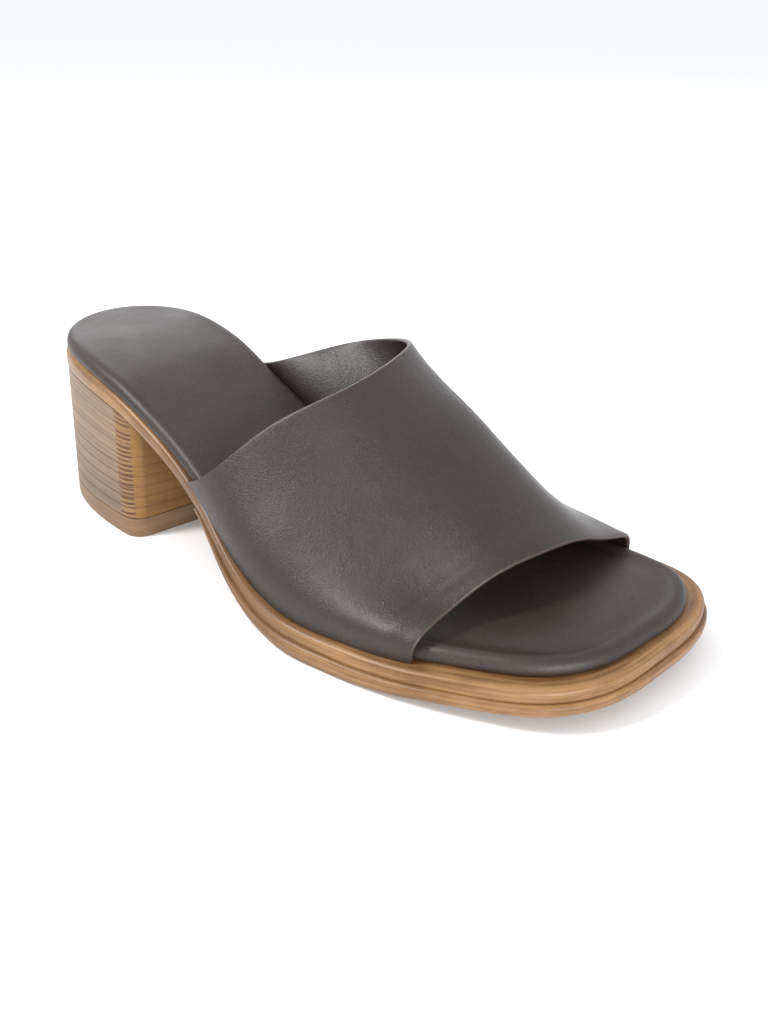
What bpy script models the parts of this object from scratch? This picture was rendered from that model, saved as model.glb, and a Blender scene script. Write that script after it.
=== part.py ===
"""Open-toe heeled mule, right shoe: one wide leather band over a padded footbed on a block heel."""

from collections import namedtuple
from math import cos, pi, radians, sin

import bmesh
import bpy
import numpy as np
from mathutils import Vector

MM = 0.001

# Overall sizes, in millimetres
INSOLE_LENGTH = 245.0
BALL_WIDTH = 97.4
SEAT_HEIGHT = 60.8
TOE_SPRING = 6.0
INSTEP_RISE = 64.0

# Sole layers
OUTSOLE_THICKNESS = 5.7
MIDSOLE_THICKNESS = 4.6
LEDGE_WIDTH = 8.0
OUTSOLE_STEP = 1.5
OUTSOLE_START = 0.40
STEP_FROM = 0.10
STEP_FULL = 0.70

# Heel
BREAST_AT = 0.273
BREAST_TURN = 14.0
BREAST_CORNER = 7.0
HEEL_SIDE_FLARE = 1.4
HEEL_BACK_FLARE = 2.7
TOP_LIFT_HEIGHT = 7.5
HEEL_EDGE = 0.8
LIFT_EDGE_ROUND = 0.6

# Footbed and band
FOOTBED_THICKNESS = 5.0
BAND_THICKNESS = 1.8
BAND_WALL_HEIGHT = 6.5
BAND_WALL_LEAN = 0.22
JOINT_GAP = 0.3
BAND_FOOT_GAP = 0.5

# How finely the curved pieces are divided
EDGE_SAMPLES = 720
EDGE_STATIONS = 50
HEEL_STATIONS = 14
CORNER_STEPS = 5
CORNER_PASSES = 4
BAND_ACROSS = 34
BAND_ALONG = 16

EdgePoint = namedtuple("EdgePoint", "along out ledge")
SidePoint = namedtuple("SidePoint", "along lift spring midsole outsole")
ProfilePoint = namedtuple("ProfilePoint", "inset drop")
BandPoint = namedtuple("BandPoint", "along across up")

# Insole outline seen from above: place along the insole length, distance out from the centre line
# as a share of the ball width, and the sole's edge beyond it as a share of the ledge width
LATERAL_EDGE = [
    EdgePoint(0.030, 0.157, 0.10),
    EdgePoint(0.086, 0.250, 0.10),
    EdgePoint(0.163, 0.306, 0.10),
    EdgePoint(0.286, 0.339, 0.12),
    EdgePoint(0.403, 0.385, 0.32),
    EdgePoint(0.522, 0.466, 0.74),
    EdgePoint(0.652, 0.472, 0.79),
    EdgePoint(0.756, 0.441, 0.87),
    EdgePoint(0.855, 0.371, 0.95),
    EdgePoint(0.931, 0.273, 0.96),
    EdgePoint(0.970, 0.139, 0.86),
    EdgePoint(0.988, -0.034, 0.79),
]
TOE_TIP = EdgePoint(0.998, 0.204, 0.74)
MEDIAL_EDGE = [
    EdgePoint(0.013, 0.183, 0.10),
    EdgePoint(0.076, 0.314, 0.10),
    EdgePoint(0.165, 0.335, 0.10),
    EdgePoint(0.288, 0.294, 0.12),
    EdgePoint(0.407, 0.282, 0.20),
    EdgePoint(0.524, 0.341, 0.42),
    EdgePoint(0.641, 0.455, 0.70),
    EdgePoint(0.752, 0.528, 0.80),
    EdgePoint(0.863, 0.496, 0.98),
    EdgePoint(0.966, 0.413, 1.06),
]
HEEL_BACK = EdgePoint(0.0, 0.0, 0.10)

# Sole seen from the side: lift is the share of the seat's height above the forefoot, spring the
# share of the toe spring, and the last two are shares of each layer's thickness at the ball
SIDE = [
    SidePoint(0.000, 1.000, 0.00, 1.41, 0.21),
    SidePoint(0.102, 0.982, 0.00, 1.35, 0.21),
    SidePoint(0.204, 0.904, 0.00, 1.20, 0.21),
    SidePoint(0.306, 0.709, 0.00, 1.11, 0.21),
    SidePoint(0.408, 0.460, 0.00, 1.11, 0.21),
    SidePoint(0.510, 0.176, 0.00, 1.06, 0.53),
    SidePoint(0.560, 0.062, 0.00, 1.02, 0.78),
    SidePoint(0.605, 0.010, 0.00, 1.00, 0.97),
    SidePoint(0.640, 0.000, 0.00, 1.00, 1.00),
    SidePoint(0.690, 0.000, 0.00, 1.00, 1.00),
    SidePoint(0.745, 0.000, 0.09, 1.00, 0.88),
    SidePoint(0.816, 0.000, 0.37, 1.00, 0.75),
    SidePoint(0.918, 0.000, 0.66, 1.00, 0.70),
    SidePoint(1.030, 0.000, 1.00, 1.00, 0.76),
]

# Edge profiles, from the top ring to the bottom ring: inset in millimetres, drop as a share of
# the layer's thickness
OUTSOLE_PROFILE = [
    ProfilePoint(0.9, 0.00),
    ProfilePoint(0.2, 0.12),
    ProfilePoint(0.0, 0.40),
    ProfilePoint(0.2, 0.75),
    ProfilePoint(1.1, 1.00),
]
MIDSOLE_PROFILE = [
    ProfilePoint(1.2, 0.00),
    ProfilePoint(0.3, 0.14),
    ProfilePoint(0.0, 0.42),
    ProfilePoint(0.0, 0.85),
    ProfilePoint(0.3, 1.00),
]
FOOTBED_PROFILE = [
    ProfilePoint(3.2, 0.00),
    ProfilePoint(1.4, 0.06),
    ProfilePoint(0.4, 0.25),
    ProfilePoint(0.0, 0.55),
    ProfilePoint(0.1, 1.00),
]

# Band sections from the back edge to the front edge. Each runs over the foot from the lateral
# side to the medial side: along the insole length, across as a share of the ball width, and up
# above the sole's deck as a share of the instep rise. The first and last points stand on the deck.
BAND_SECTIONS = [
    [
        BandPoint(0.382, -0.39, 0.00),
        BandPoint(0.490, -0.293, 0.61),
        BandPoint(0.556, -0.085, 0.92),
        BandPoint(0.561, 0.203, 0.99),
        BandPoint(0.509, 0.418, 0.84),
        BandPoint(0.405, 0.455, 0.48),
        BandPoint(0.256, 0.32, 0.00),
    ],
    [
        BandPoint(0.509, -0.48, 0.00),
        BandPoint(0.591, -0.307, 0.49),
        BandPoint(0.640, -0.093, 0.72),
        BandPoint(0.651, 0.147, 0.81),
        BandPoint(0.624, 0.354, 0.77),
        BandPoint(0.558, 0.424, 0.54),
        BandPoint(0.458, 0.32, 0.00),
    ],
    [
        BandPoint(0.642, -0.49, 0.00),
        BandPoint(0.691, -0.313, 0.31),
        BandPoint(0.726, -0.115, 0.49),
        BandPoint(0.744, 0.090, 0.58),
        BandPoint(0.741, 0.280, 0.56),
        BandPoint(0.714, 0.419, 0.38),
        BandPoint(0.662, 0.49, 0.00),
    ],
    [
        BandPoint(0.775, -0.45, 0.00),
        BandPoint(0.791, -0.314, 0.205),
        BandPoint(0.818, -0.160, 0.315),
        BandPoint(0.845, 0.016, 0.345),
        BandPoint(0.860, 0.212, 0.295),
        BandPoint(0.870, 0.393, 0.195),
        BandPoint(0.874, 0.51, 0.00),
    ],
]

LEATHER_BROWN = (0.055, 0.042, 0.038, 1.0)
FOOTBED_BROWN = (0.050, 0.038, 0.034, 1.0)
SOLE_TAN = (0.420, 0.215, 0.090, 1.0)
STACK_TAN = (0.330, 0.175, 0.085, 1.0)


def clear_scene():
    """Remove whatever the opened file holds."""
    for obj in list(bpy.data.objects):
        bpy.data.objects.remove(obj, do_unlink=True)


def spline_slopes(knots, values, closed):
    """Slopes of a smooth cubic through the values: closed round a loop, or free at both ends."""
    count = len(knots)
    matrix = np.zeros((count, count))
    rhs = np.zeros((count,) + values.shape[1:])
    for i in range(count):
        if not closed and i in (0, count - 1):
            j = i if i == 0 else i - 1
            step = knots[j + 1] - knots[j]
            matrix[i, i] = 2.0
            matrix[i, 1 if i == 0 else i - 1] = 1.0
            rhs[i] = 3.0 * (values[j + 1] - values[j]) / step
            continue
        before, after = (i - 1) % count, (i + 1) % count
        step_in = knots[i] - knots[before] if i else 1.0 - knots[before]
        step_out = knots[after] - knots[i] if after else 1.0 - knots[i]
        matrix[i, before] += step_out
        matrix[i, i] += 2.0 * (step_in + step_out)
        matrix[i, after] += step_in
        rise_in = (values[i] - values[before]) / step_in
        rise_out = (values[after] - values[i]) / step_out
        rhs[i] = 3.0 * (step_out * rise_in + step_in * rise_out)
    return np.linalg.solve(matrix, rhs)


def spline(points, shares, closed=False, knots=None):
    """Points of a smooth cubic curve at shares 0 to 1, its knots spaced as the points are."""
    points = np.asarray(points, dtype=float)
    if knots is None:
        following = np.roll(points, -1, axis=0) if closed else points[1:]
        chords = np.linalg.norm(following - points[: len(following)], axis=1)
        knots = np.concatenate([[0.0], np.cumsum(chords)]) / chords.sum()
    knots = np.asarray(knots, dtype=float)
    if closed:
        knots = knots[:-1]
    slopes = spline_slopes(knots, points, closed)
    curve = []
    for share in shares:
        i = min(max(int(np.searchsorted(knots, share, side="right")) - 1, 0), len(knots) - 1)
        if not closed:
            i = min(i, len(knots) - 2)
        j = (i + 1) % len(knots)
        step = (knots[j] if j else 1.0) - knots[i]
        t = (share - knots[i]) / step
        curve.append(
            (2 * t**3 - 3 * t**2 + 1) * points[i]
            + (t**3 - 2 * t**2 + t) * step * slopes[i]
            + (3 * t**2 - 2 * t**3) * points[j]
            + (t**3 - t**2) * step * slopes[j]
        )
    return np.array(curve)


def steady_curve(xs, ys, x):
    """A curve through a table that never overshoots its rows, read at x."""
    xs, ys = np.asarray(xs, dtype=float), np.asarray(ys, dtype=float)
    rises = np.diff(ys) / np.diff(xs)
    slopes = np.zeros(len(xs))
    slopes[0], slopes[-1] = rises[0], rises[-1]
    for i in range(1, len(xs) - 1):
        if rises[i - 1] * rises[i] > 0:
            slopes[i] = 2 * rises[i - 1] * rises[i] / (rises[i - 1] + rises[i])
    x = min(max(x, xs[0]), xs[-1])
    i = min(int(np.searchsorted(xs, x, side="right")) - 1, len(xs) - 2)
    step = xs[i + 1] - xs[i]
    t = (x - xs[i]) / step
    return float(
        (2 * t**3 - 3 * t**2 + 1) * ys[i]
        + (t**3 - 2 * t**2 + t) * step * slopes[i]
        + (3 * t**2 - 2 * t**3) * ys[i + 1]
        + (t**3 - t**2) * step * slopes[i + 1]
    )


def side_value(column, x):
    """One column of the side table at a distance from the heel's back, in millimetres."""
    xs = [row.along * INSOLE_LENGTH for row in SIDE]
    return steady_curve(xs, [getattr(row, column) for row in SIDE], x)


def forefoot_deck():
    """Height of the midsole's top where the sole touches the floor."""
    return OUTSOLE_THICKNESS + JOINT_GAP + MIDSOLE_THICKNESS


def deck(x):
    """Height of the midsole's top."""
    rise = side_value("lift", x) * (SEAT_HEIGHT - forefoot_deck())
    return forefoot_deck() + rise + side_value("spring", x) * TOE_SPRING


def midsole_bottom(x):
    """Height of the midsole's underside."""
    return deck(x) - side_value("midsole", x) * MIDSOLE_THICKNESS


def outsole_top(x):
    """Height of the outsole's upper face, just clear of the midsole."""
    return midsole_bottom(x) - JOINT_GAP


def outsole_bottom(x):
    """Height of the outsole's underside: zero where the ball rests on the floor."""
    return outsole_top(x) - side_value("outsole", x) * OUTSOLE_THICKNESS


def outline_rows():
    """The insole outline's points in order, from the heel's back round the lateral side."""
    rows = [(HEEL_BACK, 1.0)]
    rows += [(row, -1.0) for row in LATERAL_EDGE]
    rows += [(TOE_TIP, 1.0)]
    rows += [(row, 1.0) for row in reversed(MEDIAL_EDGE)]
    return rows


def edge_runs():
    """The insole's edge as two dense runs from the heel's back to the toe tip, lateral and medial.

    Each row holds x, y, the outward direction's x and y, and the width of the ledge beyond it.
    """
    rows = outline_rows()
    table = np.array(
        [[r.along * INSOLE_LENGTH, side * r.out * BALL_WIDTH, r.ledge * LEDGE_WIDTH] for r, side in rows]
    )
    chords = np.linalg.norm(np.roll(table, -1, axis=0)[:, :2] - table[:, :2], axis=1)
    knots = np.concatenate([[0.0], np.cumsum(chords)]) / chords.sum()
    shares = [i / EDGE_SAMPLES for i in range(EDGE_SAMPLES)]
    dense = spline(table, shares, closed=True, knots=knots)
    tangent = np.roll(dense, -1, axis=0)[:, :2] - np.roll(dense, 1, axis=0)[:, :2]
    tangent /= np.linalg.norm(tangent, axis=1)[:, None]
    loop = np.column_stack([dense[:, 0], dense[:, 1], tangent[:, 1], -tangent[:, 0], dense[:, 2]])
    loop = np.roll(loop, -int(np.argmin(loop[:, 0])), axis=0)
    tip = int(np.argmax(loop[:, 0]))
    return {-1.0: loop[: tip + 1], 1.0: np.vstack([loop[tip:], loop[:1]])[::-1]}


def edge_at(x, side):
    """The insole's edge at x on the lateral (-1) or medial (1) side: y, outward x and y, ledge."""
    run = EDGE_RUNS[side]
    y, out_x, out_y, ledge = (float(np.interp(x, run[:, 0], run[:, k])) for k in range(1, 5))
    size = (out_x**2 + out_y**2) ** 0.5
    return y, out_x / size, out_y / size, ledge


def edge_place(x, side, offset):
    """The point that lies a given offset outside the insole's edge."""
    y, out_x, out_y, _ = edge_at(x, side)
    return x + offset * out_x, y + offset * out_y


def material(name, colour, roughness):
    """A plain finish for one sub-part."""
    mat = bpy.data.materials.new(name)
    mat.use_nodes = True
    shader = mat.node_tree.nodes["Principled BSDF"]
    shader.inputs["Base Color"].default_value = colour
    shader.inputs["Roughness"].default_value = roughness
    shader.inputs["Metallic"].default_value = 0.0
    return mat


def finish_piece(bm, name, collection, root, mat, smooth_angle):
    """Turn a bmesh into a named object with its material, shaded smooth below an angle."""
    bmesh.ops.recalc_face_normals(bm, faces=bm.faces)
    mesh = bpy.data.meshes.new(name)
    bm.to_mesh(mesh)
    bm.free()
    mesh.materials.append(mat)
    mesh.shade_smooth()
    mesh.set_sharp_from_angle(angle=smooth_angle)
    obj = bpy.data.objects.new(name, mesh)
    obj.parent = root
    collection.objects.link(obj)
    return obj


def bridge_rings(bm, rings):
    """Join each ring of vertices to the next with quads."""
    for upper, lower in zip(rings, rings[1:]):
        count = len(upper)
        for i in range(count):
            j = (i + 1) % count
            bm.faces.new((upper[i], upper[j], lower[j], lower[i]))


def ladder_deck(bm, lateral, medial):
    """Close a layer with strips that run straight across, between points at equal x."""
    for i in range(len(lateral) - 1):
        corners = [lateral[i], lateral[i + 1], medial[i + 1], medial[i]]
        bm.faces.new(list(dict.fromkeys(corners)))


def stations(start):
    """Distances from the heel's back where a sole layer has points, closest at its round ends."""
    low = float(EDGE_RUNS[1.0][0, 0])
    high = float(EDGE_RUNS[1.0][-1, 0])
    xs = [low + (high - low) * (1.0 - cos(pi * i / EDGE_STATIONS)) / 2.0 for i in range(EDGE_STATIONS + 1)]
    return [x for x in xs if x >= start]


def layer(profile, edge, top, bottom, start=None):
    """A sole layer: its edge profile swept round the outline and closed above and below."""
    bm = bmesh.new()
    whole = start is None
    xs = stations(-INSOLE_LENGTH if whole else start)
    decks, rings = [], []
    for row in profile:
        sides = {}
        for side in (-1.0, 1.0):
            run = []
            for x in xs:
                px, py = edge_place(x, side, edge(x, side) - row.inset)
                z = top(px) + row.drop * (bottom(px) - top(px))
                run.append(bm.verts.new((px * MM, py * MM, z * MM)))
            sides[side] = run
        for end in ([0, -1] if whole else [-1]):
            middle = (sides[-1.0][end].co + sides[1.0][end].co) / 2.0
            sides[-1.0][end].co = middle
            bm.verts.remove(sides[1.0][end])
            sides[1.0][end] = sides[-1.0][end]
        decks.append((sides[-1.0], sides[1.0]))
        rings.append(list(dict.fromkeys(sides[-1.0] + sides[1.0][::-1])))
    bridge_rings(bm, rings)
    ladder_deck(bm, *decks[0])
    ladder_deck(bm, *decks[-1])
    return bm


def make_outsole():
    """The forepart's lower layer, from the waist to the toe, with the step that stands out."""
    return layer(OUTSOLE_PROFILE, ledge_width, outsole_top, outsole_bottom, OUTSOLE_START * INSOLE_LENGTH)


def ledge_width(x, side):
    """How far the sole's outermost edge stands out from the insole."""
    return edge_at(x, side)[3]


def midsole_edge(x, side):
    """How far the midsole stands out from the insole: the ledge less the outsole's step."""
    ledge = ledge_width(x, side)
    share = min(max((ledge / LEDGE_WIDTH - STEP_FROM) / (STEP_FULL - STEP_FROM), 0.0), 1.0)
    return ledge - OUTSOLE_STEP * share


def make_midsole():
    """The full-length tan layer whose flat ledge shows round the footbed."""
    return layer(MIDSOLE_PROFILE, midsole_edge, deck, midsole_bottom)


def make_footbed():
    """The padded insole: leather wrapped over a thin board, with a rounded upper edge."""

    def footbed_bottom(x):
        return deck(x) + JOINT_GAP

    def footbed_top(x):
        return deck(x) + JOINT_GAP + FOOTBED_THICKNESS

    return layer(FOOTBED_PROFILE, lambda x, side: 0.0, footbed_top, footbed_bottom)


def breast_corner(side, edge):
    """Centre of a front corner's arc, which meets the heel's side and its turned front face."""
    turn = radians(BREAST_TURN)
    x = BREAST_AT * INSOLE_LENGTH
    for _ in range(CORNER_PASSES):
        y = edge_place(x, side, edge)[1] - side * BREAST_CORNER
        x = BREAST_AT * INSOLE_LENGTH + (y * sin(turn) - BREAST_CORNER) / cos(turn)
    return x, y


def heel_outline(lean):
    """The block's outline: round at the back, its front face turned and its corners rounded.

    Lean runs from 0 at the seat to 1 at the floor, where the sides and the back flare out.
    """
    edge = HEEL_EDGE + lean * HEEL_SIDE_FLARE
    turn = radians(BREAST_TURN)
    low = float(EDGE_RUNS[1.0][0, 0])
    sides = {}
    for side in (-1.0, 1.0):
        corner_x, corner_y = breast_corner(side, edge)
        sweep = 0.5 * pi + side * turn
        run = []
        for i in range(HEEL_STATIONS + 1):
            x = low + (corner_x - low) * (1.0 - cos(0.5 * pi * i / HEEL_STATIONS))
            run.append(edge_place(x, side, edge))
        for i in range(1, CORNER_STEPS + 1):
            angle = sweep * i / CORNER_STEPS
            run.append((corner_x + BREAST_CORNER * sin(angle), corner_y + side * BREAST_CORNER * cos(angle)))
        sides[side] = run
    back = (low - edge, 0.5 * (sides[-1.0][0][1] + sides[1.0][0][1]))
    ring = [back] + sides[-1.0][1:] + sides[1.0][:0:-1]
    breast = BREAST_AT * INSOLE_LENGTH
    stretch = (breast + HEEL_EDGE + lean * HEEL_BACK_FLARE) / (breast - back[0])
    return [(breast - (breast - x) * stretch, y) for x, y in ring]


def close_heel_face(bm, ring):
    """Close a heel ring with strips across and one triangle at the back."""
    count = len(ring)
    bm.faces.new((ring[0], ring[1], ring[-1]))
    for i in range(1, count // 2):
        bm.faces.new((ring[i], ring[i + 1], ring[count - i - 1], ring[count - i]))


def heel_ring(bm, lean, inset, height):
    """One ring of the heel at a height given by its distance along the shoe."""
    breast = BREAST_AT * INSOLE_LENGTH
    middle, half = 0.5 * breast, 0.5 * breast
    shrink = 1.0 - inset / half
    ring = []
    for x, y in heel_outline(lean):
        px, py = middle + (x - middle) * shrink, y * shrink
        ring.append(bm.verts.new((px * MM, py * MM, height(px) * MM)))
    return ring


def heel_lean(z):
    """How far down the heel a height is: 0 at the seat, 1 at the floor."""
    return 1.0 - z / midsole_bottom(0.0)


def make_heel_block():
    """The stacked block between the seat and the top lift."""
    bm = bmesh.new()

    def top(x):
        return midsole_bottom(x) - JOINT_GAP

    def bottom(_):
        return TOP_LIFT_HEIGHT + JOINT_GAP

    rings = [heel_ring(bm, 0.0, 0.0, top), heel_ring(bm, heel_lean(bottom(0.0)), 0.0, bottom)]
    bridge_rings(bm, rings)
    close_heel_face(bm, rings[0])
    close_heel_face(bm, rings[-1])
    return bm


def make_top_lift():
    """The plain lift under the heel block, which stands flat on the floor."""
    bm = bmesh.new()
    levels = [(TOP_LIFT_HEIGHT, 0.0), (LIFT_EDGE_ROUND, 0.0), (0.0, LIFT_EDGE_ROUND)]
    rings = [heel_ring(bm, heel_lean(z), inset, lambda _, z=z: z) for z, inset in levels]
    bridge_rings(bm, rings)
    close_heel_face(bm, rings[0])
    close_heel_face(bm, rings[-1])
    return bm


def band_section(v):
    """Points of the band from its lateral foot to its medial foot, v running from back to front."""
    table = np.array([[[p.along, p.across, p.up] for p in section] for section in BAND_SECTIONS])
    rows = len(BAND_SECTIONS)
    knots = [i / (rows - 1) for i in range(rows)]
    shares = spline(table.reshape(rows, -1), [v], knots=knots)[0].reshape(-1, 3)
    points = []
    for along, across, up in shares:
        x = along * INSOLE_LENGTH
        points.append([x, across * BALL_WIDTH, deck(x) + up * INSTEP_RISE])
    outer = JOINT_GAP + BAND_THICKNESS
    for end, side, inward in ((0, -1.0, 1), (-1, 1.0, -2)):
        x = points[end][0]
        lean = BAND_WALL_LEAN * (points[inward][0] - x)
        foot = edge_place(x, side, outer)
        wall = edge_place(x + lean, side, outer)
        inside = edge_place(x, side, JOINT_GAP)
        points[end] = [foot[0], foot[1], max(deck(foot[0]), deck(inside[0])) + BAND_FOOT_GAP]
        rise = [wall[0], wall[1], deck(wall[0]) + BAND_WALL_HEIGHT]
        points.insert(1 if end == 0 else len(points) - 1, rise)
    return points


def make_upper():
    """The band's outer surface as an open sheet, from its back edge to its front edge."""
    bm = bmesh.new()
    grid = []
    for j in range(BAND_ALONG + 1):
        section = band_section(j / BAND_ALONG)
        shares = [i / BAND_ACROSS for i in range(BAND_ACROSS + 1)]
        grid.append([bm.verts.new(Vector(p) * MM) for p in spline(section, shares)])
    for back, front in zip(grid, grid[1:]):
        for i in range(BAND_ACROSS):
            bm.faces.new((back[i], front[i], front[i + 1], back[i + 1]))
    return bm


def add_wall(obj, thickness):
    """Give an open sheet its real thickness, inwards."""
    solidify = obj.modifiers.new("wall", "SOLIDIFY")
    solidify.thickness = thickness * MM
    solidify.offset = -1.0
    solidify.use_even_offset = True


EDGE_RUNS = edge_runs()


def place_origin(root, objects):
    """Stand the shoe over the world's origin: centred on its box, its lowest face on the floor."""
    corners = []
    for obj in objects:
        corners += [vertex.co for vertex in obj.data.vertices]
    lows = [min(c[i] for c in corners) for i in range(3)]
    highs = [max(c[i] for c in corners) for i in range(3)]
    root.location = (-(lows[0] + highs[0]) / 2, -(lows[1] + highs[1]) / 2, 0.0)


def main():
    """Build the mule's pieces."""
    clear_scene()
    collection = bpy.data.collections.new("open_toe_mule")
    bpy.context.scene.collection.children.link(collection)
    root = bpy.data.objects.new("mule_frame", None)
    collection.objects.link(root)
    smooth = 0.7
    pieces = [
        ("outsole", make_outsole, material("sole_tan", SOLE_TAN, 0.45)),
        ("midsole", make_midsole, material("welt_tan", SOLE_TAN, 0.42)),
        ("heel_block", make_heel_block, material("stack_tan", STACK_TAN, 0.50)),
        ("top_lift", make_top_lift, material("lift_tan", SOLE_TAN, 0.55)),
        ("footbed", make_footbed, material("footbed_leather", FOOTBED_BROWN, 0.48)),
        ("upper", make_upper, material("band_leather", LEATHER_BROWN, 0.42)),
    ]
    objects = []
    for name, make, mat in pieces:
        objects.append(finish_piece(make(), name, collection, root, mat, smooth))
    add_wall(objects[-1], BAND_THICKNESS)
    place_origin(root, objects)


main()
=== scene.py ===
"""Open-toe heeled mule, right shoe: leather band, padded footbed, welted sole and stacked heel."""

from collections import namedtuple
from math import cos, exp, pi, radians, sin

import bmesh
import bpy
import numpy as np
from bpy.props import FloatProperty, FloatVectorProperty, PointerProperty
from mathutils import Euler, Matrix, Vector


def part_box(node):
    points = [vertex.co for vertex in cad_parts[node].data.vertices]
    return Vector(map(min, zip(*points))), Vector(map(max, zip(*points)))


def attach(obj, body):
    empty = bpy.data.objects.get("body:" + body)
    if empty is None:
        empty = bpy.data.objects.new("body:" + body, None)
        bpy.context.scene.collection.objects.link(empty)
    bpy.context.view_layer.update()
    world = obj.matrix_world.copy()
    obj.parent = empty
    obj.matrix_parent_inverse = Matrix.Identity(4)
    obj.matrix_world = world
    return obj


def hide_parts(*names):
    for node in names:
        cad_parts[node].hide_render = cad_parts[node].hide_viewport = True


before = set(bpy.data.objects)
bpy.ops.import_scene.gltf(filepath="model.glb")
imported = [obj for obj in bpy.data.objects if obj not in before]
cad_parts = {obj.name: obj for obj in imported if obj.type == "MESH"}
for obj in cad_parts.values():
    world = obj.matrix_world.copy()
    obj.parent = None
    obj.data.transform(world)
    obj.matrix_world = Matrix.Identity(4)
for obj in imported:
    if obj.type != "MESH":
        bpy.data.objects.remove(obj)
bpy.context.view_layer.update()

bl_info = {
    "name": "Open-toe heeled mule",
    "version": (1, 0, 0),
    "blender": (4, 5, 0),
    "location": "View3D > Sidebar > Mule",
    "description": "Models and finishes a leather mule round its fixed construction frame",
    "category": "Object",
}

MM = 0.001
BODY = "root"
EDGE_SAMPLES = 720
DOUBLES = 0.000002
LATERAL, MEDIAL = -1.0, 1.0

EdgePoint = namedtuple("EdgePoint", "along out ledge")
SidePoint = namedtuple("SidePoint", "along lift spring midsole outsole")
BandPoint = namedtuple("BandPoint", "along across up")
ProfileRow = namedtuple("ProfileRow", "inset height reach")
Crease = namedtuple("Crease", "across along wide long depth skew")

# Insole outline seen from above: place along the insole length, distance out from the centre line
# as a share of the ball width, and the sole's edge beyond it as a share of the ledge width
HEEL_BACK = EdgePoint(0.0, 0.0, 0.10)
LATERAL_EDGE = [
    EdgePoint(0.030, 0.157, 0.10),
    EdgePoint(0.086, 0.250, 0.10),
    EdgePoint(0.163, 0.306, 0.10),
    EdgePoint(0.286, 0.339, 0.12),
    EdgePoint(0.403, 0.385, 0.32),
    EdgePoint(0.522, 0.466, 0.74),
    EdgePoint(0.652, 0.472, 0.79),
    EdgePoint(0.756, 0.441, 0.87),
    EdgePoint(0.855, 0.371, 0.95),
    EdgePoint(0.931, 0.273, 0.96),
    EdgePoint(0.970, 0.139, 0.86),
    EdgePoint(0.988, -0.034, 0.79),
]
TOE_TIP = EdgePoint(0.998, 0.204, 0.74)
MEDIAL_EDGE = [
    EdgePoint(0.013, 0.183, 0.10),
    EdgePoint(0.076, 0.314, 0.10),
    EdgePoint(0.165, 0.335, 0.10),
    EdgePoint(0.288, 0.294, 0.12),
    EdgePoint(0.407, 0.282, 0.20),
    EdgePoint(0.524, 0.341, 0.42),
    EdgePoint(0.641, 0.455, 0.70),
    EdgePoint(0.752, 0.528, 0.80),
    EdgePoint(0.863, 0.496, 0.98),
    EdgePoint(0.966, 0.413, 1.06),
]

# Sole seen from the side: lift is the share of the seat's height above the forefoot, spring the
# share of the toe spring, and the last two are shares of each layer's thickness at the ball
SIDE = [
    SidePoint(0.000, 1.000, 0.00, 1.41, 0.21),
    SidePoint(0.102, 0.982, 0.00, 1.35, 0.21),
    SidePoint(0.204, 0.904, 0.00, 1.20, 0.21),
    SidePoint(0.306, 0.709, 0.00, 1.11, 0.21),
    SidePoint(0.408, 0.460, 0.00, 1.11, 0.21),
    SidePoint(0.510, 0.176, 0.00, 1.06, 0.53),
    SidePoint(0.560, 0.062, 0.00, 1.02, 0.78),
    SidePoint(0.605, 0.010, 0.00, 1.00, 0.97),
    SidePoint(0.640, 0.000, 0.00, 1.00, 1.00),
    SidePoint(0.690, 0.000, 0.00, 1.00, 1.00),
    SidePoint(0.745, 0.000, 0.09, 1.00, 0.88),
    SidePoint(0.816, 0.000, 0.37, 1.00, 0.75),
    SidePoint(0.918, 0.000, 0.66, 1.00, 0.70),
    SidePoint(1.030, 0.000, 1.00, 1.00, 0.76),
]

# Band sections from the back edge to the front edge. Each runs over the foot from the lateral
# side to the medial side: along the insole length, across as a share of the ball width, and up
# above the sole's deck as a share of the instep rise. The first and last points stand on the deck.
BAND_SECTIONS = [
    [
        BandPoint(0.382, -0.39, 0.00),
        BandPoint(0.490, -0.293, 0.61),
        BandPoint(0.556, -0.085, 0.92),
        BandPoint(0.561, 0.203, 0.99),
        BandPoint(0.509, 0.418, 0.84),
        BandPoint(0.405, 0.455, 0.48),
        BandPoint(0.256, 0.32, 0.00),
    ],
    [
        BandPoint(0.509, -0.48, 0.00),
        BandPoint(0.591, -0.307, 0.49),
        BandPoint(0.640, -0.093, 0.72),
        BandPoint(0.651, 0.147, 0.81),
        BandPoint(0.624, 0.354, 0.77),
        BandPoint(0.558, 0.424, 0.54),
        BandPoint(0.458, 0.32, 0.00),
    ],
    [
        BandPoint(0.642, -0.49, 0.00),
        BandPoint(0.691, -0.313, 0.31),
        BandPoint(0.726, -0.115, 0.49),
        BandPoint(0.744, 0.090, 0.58),
        BandPoint(0.741, 0.280, 0.56),
        BandPoint(0.714, 0.419, 0.38),
        BandPoint(0.662, 0.49, 0.00),
    ],
    [
        BandPoint(0.775, -0.45, 0.00),
        BandPoint(0.791, -0.314, 0.205),
        BandPoint(0.818, -0.160, 0.315),
        BandPoint(0.845, 0.016, 0.345),
        BandPoint(0.860, 0.212, 0.295),
        BandPoint(0.870, 0.393, 0.195),
        BandPoint(0.874, 0.51, 0.00),
    ],
]

# Soft creases of the band: centre across and along it as shares, half sizes as shares, depth in
# millimetres (negative rises), and how much the crease leans as it runs across
CREASES = [
    Crease(0.28, 0.92, 0.24, 0.032, -0.85, 0.05),
    Crease(0.36, 0.84, 0.16, 0.030, 0.22, 0.10),
    Crease(0.55, 0.90, 0.18, 0.025, 0.18, -0.05),
    Crease(0.72, 0.80, 0.14, 0.050, 0.25, -0.25),
    Crease(0.80, 0.45, 0.10, 0.090, 0.30, -0.30),
    Crease(0.20, 0.50, 0.10, 0.160, -0.20, 0.10),
]

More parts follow.
